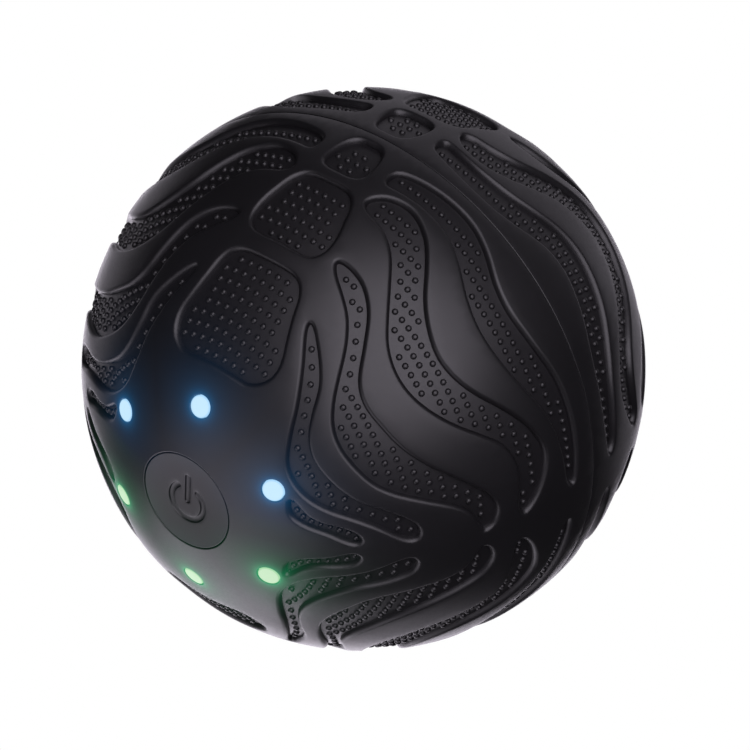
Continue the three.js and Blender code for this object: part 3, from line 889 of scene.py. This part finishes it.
def lightLens(number):
    # A clear window whose foot stands over its light and whose collar sits under the housing.
    spec = lens
    turns = np.linspace(0, 2 * math.pi, spec["sides"], endpoint=False)
    radius, crown, low, slope = spec["radius"], spec["crown"], spec["low"], spec["slope"]
    top = ballRadius - crown
    profile = [(radius * share, top + crown * (1 - share ** 2)) for share in (0.35, 0.7)]
    for aside, down in roundOver(spec["round"], (0, 30, 60, 90)):
        profile.append((radius - aside, top - down))
    profile += [(radius, spec["collarHigh"] + slope),
                (spec["collar"], spec["collarHigh"]),
                (spec["collar"], spec["collarLow"]),
                (radius, spec["collarLow"] - slope),
                (radius, low + spec["chamfer"]),
                (radius - spec["chamfer"], low)]
    circle = np.stack([np.cos(turns), np.sin(turns)], 1)
    rows = [np.column_stack([circle * r, np.full(len(turns), z)]) for r, z in profile]
    stock = newStock()
    addRows(stock, rows, True)
    addFan(stock, rows[0], [0, 0, top + crown])
    addFan(stock, rows[-1], [0, 0, low])
    turn = Matrix.Rotation(math.radians(-90 + 60 * (number - 1)), 4, "Z")
    slant = Matrix.Rotation(math.radians(hole["light"]["slant"]), 4, "Y")
    piece = makePiece(f"lightLens{number}", stock, turn @ slant)
    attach(piece, "ball")
    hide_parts(f"light_pipe_{number}")
    return piece


def addNode(tree, kind, **settings):
    made = tree.nodes.new(kind)
    for key, value in settings.items():
        setattr(made, key, value)
    return made


def newGroup(name, inputs, outputs):
    tree = bpy.data.node_groups.new(name, "ShaderNodeTree")
    for label, kind, value in inputs:
        socket = tree.interface.new_socket(name=label, in_out="INPUT", socket_type=kind)
        if value is not None:
            socket.default_value = value
    for label, kind in outputs:
        tree.interface.new_socket(name=label, in_out="OUTPUT", socket_type=kind)
    return tree, addNode(tree, "NodeGroupInput"), addNode(tree, "NodeGroupOutput")


def mathNode(tree, operation, first, second=None, third=None, clamp=False):
    made = addNode(tree, "ShaderNodeMath", operation=operation, use_clamp=clamp)
    for index, value in enumerate((first, second, third)):
        if value is None:
            continue
        if isinstance(value, (int, float)):
            made.inputs[index].default_value = value
        else:
            tree.links.new(value, made.inputs[index])
    return made.outputs[0]


def grainGroup():
    # Fine grain, broad unevenness and a height for a bump, at coordinates in metres.
    tree, given, out = newGroup(
        "surfaceGrain",
        [("coordinates", "NodeSocketVector", None), ("fineScale", "NodeSocketFloat", 900.0),
         ("broadScale", "NodeSocketFloat", 60.0)],
        [("fine", "NodeSocketFloat"), ("broad", "NodeSocketFloat"), ("height", "NodeSocketFloat")])
    fine = addNode(tree, "ShaderNodeTexNoise")
    fine.inputs["Detail"].default_value = 3.0
    fine.inputs["Roughness"].default_value = 0.6
    broad = addNode(tree, "ShaderNodeTexNoise")
    broad.inputs["Detail"].default_value = 4.0
    cells = addNode(tree, "ShaderNodeTexVoronoi", feature="SMOOTH_F1")
    for texture, scale in ((fine, "fineScale"), (broad, "broadScale"), (cells, "fineScale")):
        tree.links.new(given.outputs["coordinates"], texture.inputs["Vector"])
        tree.links.new(given.outputs[scale], texture.inputs["Scale"])
    height = mathNode(tree, "MULTIPLY_ADD", cells.outputs["Distance"], 0.5, fine.outputs["Fac"])
    tree.links.new(fine.outputs["Fac"], out.inputs["fine"])
    tree.links.new(broad.outputs["Fac"], out.inputs["broad"])
    tree.links.new(height, out.inputs["height"])
    return tree


halo = {
    "blue": (0.0, 0.27, 0.7, 1),
    "green": (0.03, 1.0, 0.38, 1),
    "start": 2.2 * mm,  # from the middle of a window
    "nearReach": 0.7 * mm,  # how fast the bright edge fades
    "wideReach": 4.0 * mm,
    "nearGlow": 0.14,
    "wideGlow": 0.08,
    "blend": 8 * mm,  # width over which blue turns to green
}


def haloGroup():
    # The glow that each light window leaves on the surface round it, by distance to the nearest one.
    tree, given, out = newGroup(
        "windowGlow", [("coordinates", "NodeSocketVector", None)],
        [("glow", "NodeSocketColor"), ("distance", "NodeSocketFloat")])
    split = addNode(tree, "ShaderNodeSeparateXYZ")
    tree.links.new(given.outputs["coordinates"], split.inputs[0])
    x, y, z = split.outputs
    # The six sectors of 60 degrees round the pole are folded onto one, with its window in the middle.
    around = mathNode(tree, "ARCTAN2", y, x)
    lifted = mathNode(tree, "ADD", around, math.radians(90 + 360 + 30))
    sector = mathNode(tree, "MODULO", lifted, math.radians(60))
    folded = mathNode(tree, "SUBTRACT", sector, math.radians(30))
    across = mathNode(tree, "SQRT", mathNode(tree, "MULTIPLY_ADD", x, x, mathNode(tree, "MULTIPLY", y, y)))
    slant = math.radians(hole["light"]["slant"])
    ahead = mathNode(tree, "MULTIPLY", across, mathNode(tree, "COSINE", folded))
    dx = mathNode(tree, "SUBTRACT", ahead, ballRadius * mm * math.sin(slant))
    dy = mathNode(tree, "MULTIPLY", across, mathNode(tree, "SINE", folded))
    dz = mathNode(tree, "SUBTRACT", z, ballRadius * mm * math.cos(slant))
    square = mathNode(tree, "MULTIPLY_ADD", dy, dy, mathNode(tree, "MULTIPLY", dz, dz))
    square = mathNode(tree, "MULTIPLY_ADD", dx, dx, square)
    distance = mathNode(tree, "SQRT", square)
    beyond = mathNode(tree, "SUBTRACT", distance, halo["start"])
    near = mathNode(tree, "EXPONENT", mathNode(tree, "MULTIPLY", beyond, -1 / halo["nearReach"]))
    wide = mathNode(tree, "EXPONENT", mathNode(tree, "MULTIPLY", beyond, -1 / halo["wideReach"]))
    wideGlow = mathNode(tree, "MULTIPLY", wide, halo["wideGlow"])
    total = mathNode(tree, "MULTIPLY_ADD", near, halo["nearGlow"], wideGlow)
    strength = mathNode(tree, "MINIMUM", total, 1.0)
    side = mathNode(tree, "MULTIPLY_ADD", y, 1 / halo["blend"], 0.5, clamp=True)
    tint = addNode(tree, "ShaderNodeMix", data_type="RGBA")
    tint.inputs["A"].default_value = halo["blue"]
    tint.inputs["B"].default_value = halo["green"]
    tree.links.new(side, tint.inputs["Factor"])
    glow = addNode(tree, "ShaderNodeMix", data_type="RGBA")
    glow.inputs["A"].default_value = (0, 0, 0, 1)
    tree.links.new(strength, glow.inputs["Factor"])
    tree.links.new(tint.outputs["Result"], glow.inputs["B"])
    tree.links.new(glow.outputs["Result"], out.inputs["glow"])
    tree.links.new(distance, out.inputs["distance"])
    return tree


grain = grainGroup()
windowGlow = haloGroup()


def startMaterial(name):
    material = bpy.data.materials.new(name)
    material.use_nodes = True
    tree = material.node_tree
    tree.nodes.clear()
    out = addNode(tree, "ShaderNodeOutputMaterial")
    shader = addNode(tree, "ShaderNodeBsdfPrincipled")
    tree.links.new(shader.outputs[0], out.inputs["Surface"])
    coordinates = addNode(tree, "ShaderNodeTexCoord")
    return material, tree, shader, coordinates.outputs["Object"]


def addGrain(tree, where, fineScale, broadScale):
    made = addNode(tree, "ShaderNodeGroup", node_tree=grain)
    tree.links.new(where, made.inputs["coordinates"])
    made.inputs["fineScale"].default_value = fineScale
    made.inputs["broadScale"].default_value = broadScale
    return made


def mixColour(tree, factor, first, second):
    made = addNode(tree, "ShaderNodeMix", data_type="RGBA")
    for label, value in (("A", first), ("B", second)):
        if isinstance(value, tuple):
            made.inputs[label].default_value = (*value[:3], 1)
        else:
            tree.links.new(value, made.inputs[label])
    tree.links.new(factor, made.inputs["Factor"])
    return made.outputs["Result"]


def spread(tree, value, low, high, fromLow=0.3, fromHigh=0.7):
    # Carries a value from one range to another, with soft ends.
    made = addNode(tree, "ShaderNodeMapRange", interpolation_type="SMOOTHSTEP")
    tree.links.new(value, made.inputs["Value"])
    settings = {"From Min": fromLow, "From Max": fromHigh, "To Min": low, "To Max": high}
    for label, number in settings.items():
        made.inputs[label].default_value = number
    return made.outputs["Result"]


def addBump(tree, shader, height, strength, distance):
    bump = addNode(tree, "ShaderNodeBump")
    bump.inputs["Strength"].default_value = strength
    bump.inputs["Distance"].default_value = distance
    tree.links.new(height, bump.inputs["Height"])
    tree.links.new(bump.outputs["Normal"], shader.inputs["Normal"])


silicone = {
    "dark": (0.0058, 0.0055, 0.0063),
    "light": (0.0072, 0.0068, 0.0078),
    # Painted light: the groove floors are a little lighter than the rubber round them, to offset the shade
    # that falls in the grooves.
    "grooveFloorPaintedShading": (0.0075, 0.007, 0.008),
    "roughness": (0.4, 0.45),
    "specular": 0.5,
    "fineScale": 2200,
    "broadScale": 70,
    "bumpStrength": 0.3,
    "bumpDistance": 0.004 * mm,
    "grooveFrom": 0.2,  # below the ball's surface
    "grooveTo": 0.8,
}


def siliconeMaterial(name, spec, withGlow):
    # Dark rubber. Deeper than 0.2 mm below the ball's surface its colour turns, by 0.8 mm, to a painted
    # shading colour: lighter on the skin, to offset the shade in the grooves, and darker on the button
    # cap, whose middle lies that deep. With withGlow, a painted glow round the windows.
    material, tree, shader, where = startMaterial(name)
    marks = addGrain(tree, where, spec["fineScale"], spec["broadScale"])
    tone = mixColour(tree, spread(tree, marks.outputs["broad"], 0, 1), spec["dark"], spec["light"])
    far = addNode(tree, "ShaderNodeVectorMath", operation="LENGTH")
    tree.links.new(where, far.inputs[0])
    deep, high = ballRadius - silicone["grooveTo"], ballRadius - silicone["grooveFrom"]
    # Painted shading by depth below the ball's surface: lighter groove floors on the skin against their
    # shade, and a darker middle on the button cap.
    grooveShadingMask = spread(tree, far.outputs["Value"], 1, 0, deep * mm, high * mm)
    colour = mixColour(tree, grooveShadingMask, tone, spec["grooveFloorPaintedShading"])
    tree.links.new(colour, shader.inputs["Base Color"])
    low, high = spec["roughness"]
    tree.links.new(spread(tree, marks.outputs["fine"], low, high), shader.inputs["Roughness"])
    shader.inputs["Specular IOR Level"].default_value = spec["specular"]
    addBump(tree, shader, marks.outputs["height"], spec["bumpStrength"], spec["bumpDistance"])
    if withGlow:
        glow = addNode(tree, "ShaderNodeGroup", node_tree=windowGlow)
        tree.links.new(where, glow.inputs["coordinates"])
        tree.links.new(glow.outputs["glow"], shader.inputs["Emission Color"])
        shader.inputs["Emission Strength"].default_value = 1.0
    return material


buttonFinish = {
    "dark": (0.0075, 0.0092, 0.0105),
    "light": (0.0086, 0.0105, 0.012),
    # Painted shade: darker than the cap's own colour. The cap lies below the ball's surface, so this
    # covers it fully within about 5 mm of its middle, icon grooves included, and fades out towards its
    # edge.
    "grooveFloorPaintedShading": (0.0055, 0.0052, 0.006),
    "roughness": (0.4, 0.45),
    "specular": 0.5,
    "fineScale": 2600,
    "broadScale": 90,
    "bumpStrength": 0.3,
    "bumpDistance": 0.004 * mm,
}


window = {
    "blueCore": (0.53, 0.78, 0.95, 1),
    "blueRim": (0.38, 0.66, 0.93, 1),
    "greenCore": (0.54, 0.77, 0.5, 1),
    "greenRim": (0.36, 0.68, 0.36, 1),
    "rimFrom": 1.5 * mm,  # from the middle of the window
    "rimTo": 1.85 * mm,
    "dark": (0.06, 0.07, 0.075),
    "light": (0.045, 0.055, 0.06),
    "roughness": (0.5, 0.56),
    "specular": 0.25,
    "fineScale": 2500,
    "broadScale": 400,
    "bumpStrength": 0.1,
    "bumpDistance": 0.002 * mm,
}


def windowMaterial():
    # Clear lens plastic, lit from below: blue on the half that faces -Y and green on the other.
    material, tree, shader, where = startMaterial("lensPlastic")
    marks = addGrain(tree, where, window["fineScale"], window["broadScale"])
    glow = addNode(tree, "ShaderNodeGroup", node_tree=windowGlow)
    tree.links.new(where, glow.inputs["coordinates"])
    split = addNode(tree, "ShaderNodeSeparateXYZ")
    tree.links.new(where, split.inputs[0])
    green = mathNode(tree, "GREATER_THAN", split.outputs["Y"], 0.0)
    edge = spread(tree, glow.outputs["distance"], 0, 1, window["rimFrom"], window["rimTo"])
    blue = mixColour(tree, edge, window["blueCore"], window["blueRim"])
    leaf = mixColour(tree, edge, window["greenCore"], window["greenRim"])
    colour = mixColour(tree, green, blue, leaf)
    base = mixColour(tree, spread(tree, marks.outputs["broad"], 0, 1), window["dark"], window["light"])
    tree.links.new(base, shader.inputs["Base Color"])
    tree.links.new(colour, shader.inputs["Emission Color"])
    shader.inputs["Emission Strength"].default_value = 1.0
    low, high = window["roughness"]
    tree.links.new(spread(tree, marks.outputs["fine"], low, high), shader.inputs["Roughness"])
    shader.inputs["Specular IOR Level"].default_value = window["specular"]
    addBump(tree, shader, marks.outputs["height"], window["bumpStrength"], window["bumpDistance"])
    return material


# The finishes of the inner parts, by material slot: two colours, the range of roughness,
# the fine grain's scale, the bump, and what else a finish has.
finishes = {
    "shell_plastic": ((0.045, 0.047, 0.051), (0.058, 0.06, 0.064), (0.42, 0.56), 2200, 0.25, {}),
    "tray_plastic": ((0.62, 0.6, 0.53), (0.72, 0.7, 0.63), (0.4, 0.52), 1800, 0.2, {}),
    "seal_rubber": ((0.045, 0.045, 0.046), (0.065, 0.065, 0.066), (0.6, 0.78), 2600, 0.3, {}),
    "led_case": ((0.78, 0.72, 0.5), (0.88, 0.85, 0.7), (0.25, 0.35), 3000, 0.1, {}),
    "circuit_board": ((0.018, 0.1, 0.04), (0.035, 0.19, 0.085), (0.28, 0.4), 1500, 0.12, {"coat": 0.4}),
    "chip_plastic": ((0.016, 0.016, 0.017), (0.026, 0.026, 0.027), (0.45, 0.62), 3000, 0.25, {}),
    "screw_steel": ((0.42, 0.42, 0.43), (0.58, 0.58, 0.59), (0.24, 0.4), 2600, 0.15, {"metallic": 1.0}),
    "can_steel": ((0.48, 0.48, 0.49), (0.62, 0.62, 0.63), (0.2, 0.34), 1200, 0.12, {"metallic": 1.0}),
    "weight_brass": ((0.44, 0.32, 0.12), (0.6, 0.46, 0.2), (0.26, 0.42), 1600, 0.2, {"metallic": 1.0}),
    "winding_copper": ((0.36, 0.14, 0.06), (0.6, 0.27, 0.13), (0.25, 0.38),
                       900, 0.4, {"metallic": 1.0, "wound": True}),
    "magnet_ferrite": ((0.04, 0.04, 0.045), (0.075, 0.075, 0.08), (0.5, 0.7), 2400, 0.3, {}),
    "cell_sleeve": ((0.022, 0.13, 0.4), (0.035, 0.19, 0.52), (0.22, 0.32), 700, 0.1, {"coat": 0.3}),
    "lead_red": ((0.38, 0.012, 0.012), (0.52, 0.03, 0.025), (0.35, 0.5), 2000, 0.15, {}),
    "lead_black": ((0.014, 0.014, 0.015), (0.028, 0.028, 0.03), (0.35, 0.5), 2000, 0.15, {}),
}


partGrain = {
    "broadShare": 1 / 14,  # of the fine grain's scale
    "bumpDistance": 0.02 * mm,
    "windingScale": 620.0,
    "windingWander": 1.5,
}


def finishName(slot):
    # The slot's name in camel case.
    first, *others = slot.replace("shell", "housing").split("_")
    return first + "".join(word.capitalize() for word in others)


def partMaterial(slot, finish):
    dark, light, (low, high), fineScale, bump, more = finish
    material, tree, shader, where = startMaterial(finishName(slot))
    marks = addGrain(tree, where, fineScale, fineScale * partGrain["broadShare"])
    tone = spread(tree, marks.outputs["broad"], 0, 1)
    if more.get("wound"):
        wave = addNode(tree, "ShaderNodeTexWave", bands_direction="Y")
        wave.inputs["Scale"].default_value = partGrain["windingScale"]
        wave.inputs["Distortion"].default_value = partGrain["windingWander"]
        tree.links.new(where, wave.inputs["Vector"])
        tone = mathNode(tree, "MULTIPLY", tone, wave.outputs["Fac"])
    tree.links.new(mixColour(tree, tone, dark, light), shader.inputs["Base Color"])
    tree.links.new(spread(tree, marks.outputs["fine"], low, high), shader.inputs["Roughness"])
    shader.inputs["Metallic"].default_value = more.get("metallic", 0.0)
    shader.inputs["Coat Weight"].default_value = more.get("coat", 0.0)
    addBump(tree, shader, marks.outputs["height"], bump, partGrain["bumpDistance"])
    return material


def dress(piece, material):
    piece.data.materials.clear()
    piece.data.materials.append(material)


skinUpper = halfSkin("skinUpper", True)
skinLower = halfSkin("skinLower", False)
for piece, node in ((skinUpper, "skin_upper"), (skinLower, "skin_lower")):
    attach(piece, "ball")
    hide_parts(node)
cap = powerButton()
lenses = [lightLens(number) for number in range(1, 7)]
print("pieces made")

dress(skinUpper, siliconeMaterial("siliconeLit", silicone, True))
dress(skinLower, siliconeMaterial("siliconePlain", silicone, False))
dress(cap, siliconeMaterial("buttonSatin", buttonFinish, True))
windowPlastic = windowMaterial()
for piece in lenses:
    dress(piece, windowPlastic)
slotOf = {part["node"]: part["material_slot"] for part in frame["record"]["subparts"]}
inner = {slot: partMaterial(slot, spec) for slot, spec in finishes.items()}
stoodFor = {"skin_upper", "skin_lower", "power_button"} | {f"light_pipe_{n}" for n in range(1, 7)}
for name, node in nodes.items():
    if name not in stoodFor:
        dress(node, inner[slotOf[name]])
print("materials made")

view = {
    "azimuth": -127.0,
    "elevation": 40.14,
    "roll": 126.63,
    "distance": 684.95,
    "sensor": 36.0,
    "lens": 194.8,
    "shift": (0.01525, -0.0081),
    "nearest": 0.01,  # metres
    "farthest": 20.0,
}
a, e = math.radians(view["azimuth"]), math.radians(view["elevation"])
toCamera = Vector((math.cos(a) * math.cos(e), math.sin(a) * math.cos(e), math.sin(e)))
level = Vector((0, 0, 1)).cross(toCamera).normalized()
upright = toCamera.cross(level)
roll = math.radians(view["roll"])
imageUp = upright * math.cos(roll) + level * math.sin(roll)
imageRight = imageUp.cross(toCamera)
turn = Matrix((imageRight, imageUp, toCamera)).transposed()
camera = bpy.data.objects.new("camera", bpy.data.cameras.new("camera"))
bpy.context.scene.collection.objects.link(camera)
camera.matrix_world = Matrix.Translation(toCamera * view["distance"] * mm) @ turn.to_4x4()
camera.data.sensor_width = view["sensor"]
camera.data.lens = view["lens"]
camera.data.shift_x, camera.data.shift_y = view["shift"]
camera.data.clip_start = view["nearest"]
camera.data.clip_end = view["farthest"]
bpy.context.scene.camera = camera

lightDistance = 1.0  # metres from the ball's middle
lightColour = (0.95, 0.885, 1.0)
lights = {  # the way to each as right, up and towards the camera; its size in metres and power in watts
    "front": {"way": (0.18, 0.15, 0.972), "size": 1.38, "power": 13.9},
    "lowerLeft": {"way": (-0.67, -0.69, 0.26), "size": 1.0, "power": 3.5},
    "lowerBack": {"way": (-0.5, -0.72, -0.48), "size": 0.66, "power": 2.5},
    "below": {"way": (-0.08, -0.68, -0.73), "size": 0.8, "power": 1.6},
    "upperRight": {"way": (0.41, 0.7, -0.58), "size": 1.48, "power": 2.5},
    "rightBack": {"way": (0.6, 0.06, -0.8), "size": 0.6, "power": 0.45},
    "leftBack": {"way": (-0.5, 0.1, -0.86), "size": 0.8, "power": 1.2},
    # The last one lights the far side, for the other views.
    "behind": {"way": (-0.05, -0.1, -1.0), "size": 0.9, "power": 6.3},
}


def addLight(name, spec):
    data = bpy.data.lights.new(name, "AREA")
    data.shape = "DISK"
    data.size = spec["size"]
    data.energy = spec["power"]
    data.color = lightColour
    lamp = bpy.data.objects.new(name, data)
    bpy.context.scene.collection.objects.link(lamp)
    right, up, back = spec["way"]
    way = (imageRight * right + imageUp * up + toCamera * back).normalized()
    lamp.location = way * lightDistance
    lamp.rotation_euler = way.to_track_quat("Z", "Y").to_euler()
    lamp.visible_camera = False


for name, spec in lights.items():
    addLight(name, spec)


setting = {
    "white": (1, 1, 1),
    "floorHalf": 6.5,  # metres
    "floorDrop": 0.0002,  # below the ball
    "domeRadius": 6.0,
    "worldStrength": 0.015,
}


def paleMaterial(name):
    # Evenly white.
    material = bpy.data.materials.new(name)
    material.use_nodes = True
    tree = material.node_tree
    tree.nodes.clear()
    out = addNode(tree, "ShaderNodeOutputMaterial")
    glow = addNode(tree, "ShaderNodeEmission")
    glow.inputs["Color"].default_value = (*setting["white"], 1)
    tree.links.new(glow.outputs[0], out.inputs["Surface"])
    return material


def addStage(name, kind, material):
    # Seen by the camera only, so that it adds no light to the ball.
    mesh = bpy.data.meshes.new(name)
    work = bmesh.new()
    if kind == "floor":
        bmesh.ops.create_grid(work, x_segments=1, y_segments=1, size=setting["floorHalf"])
    else:
        bmesh.ops.create_uvsphere(work, u_segments=48, v_segments=24, radius=setting["domeRadius"])
        bmesh.ops.reverse_faces(work, faces=work.faces)
    work.to_mesh(mesh)
    work.free()
    thing = bpy.data.objects.new(name, mesh)
    bpy.context.scene.collection.objects.link(thing)
    thing.data.materials.append(material)
    thing.visible_diffuse = False
    thing.visible_glossy = False
    thing.visible_transmission = False
    thing.visible_shadow = False
    return thing


floor = addStage("floor", "floor", paleMaterial("floorWhite"))
floor.location.z = cadBox[0].z - setting["floorDrop"]
addStage("backdrop", "dome", paleMaterial("backdropWhite"))

world = bpy.data.worlds.new("studio")
bpy.context.scene.world = world
world.use_nodes = True
background = world.node_tree.nodes["Background"]
background.inputs["Color"].default_value = (*setting["white"], 1)
background.inputs["Strength"].default_value = setting["worldStrength"]
bpy.context.scene.view_settings.view_transform = "Standard"
print("camera, floor and light made")
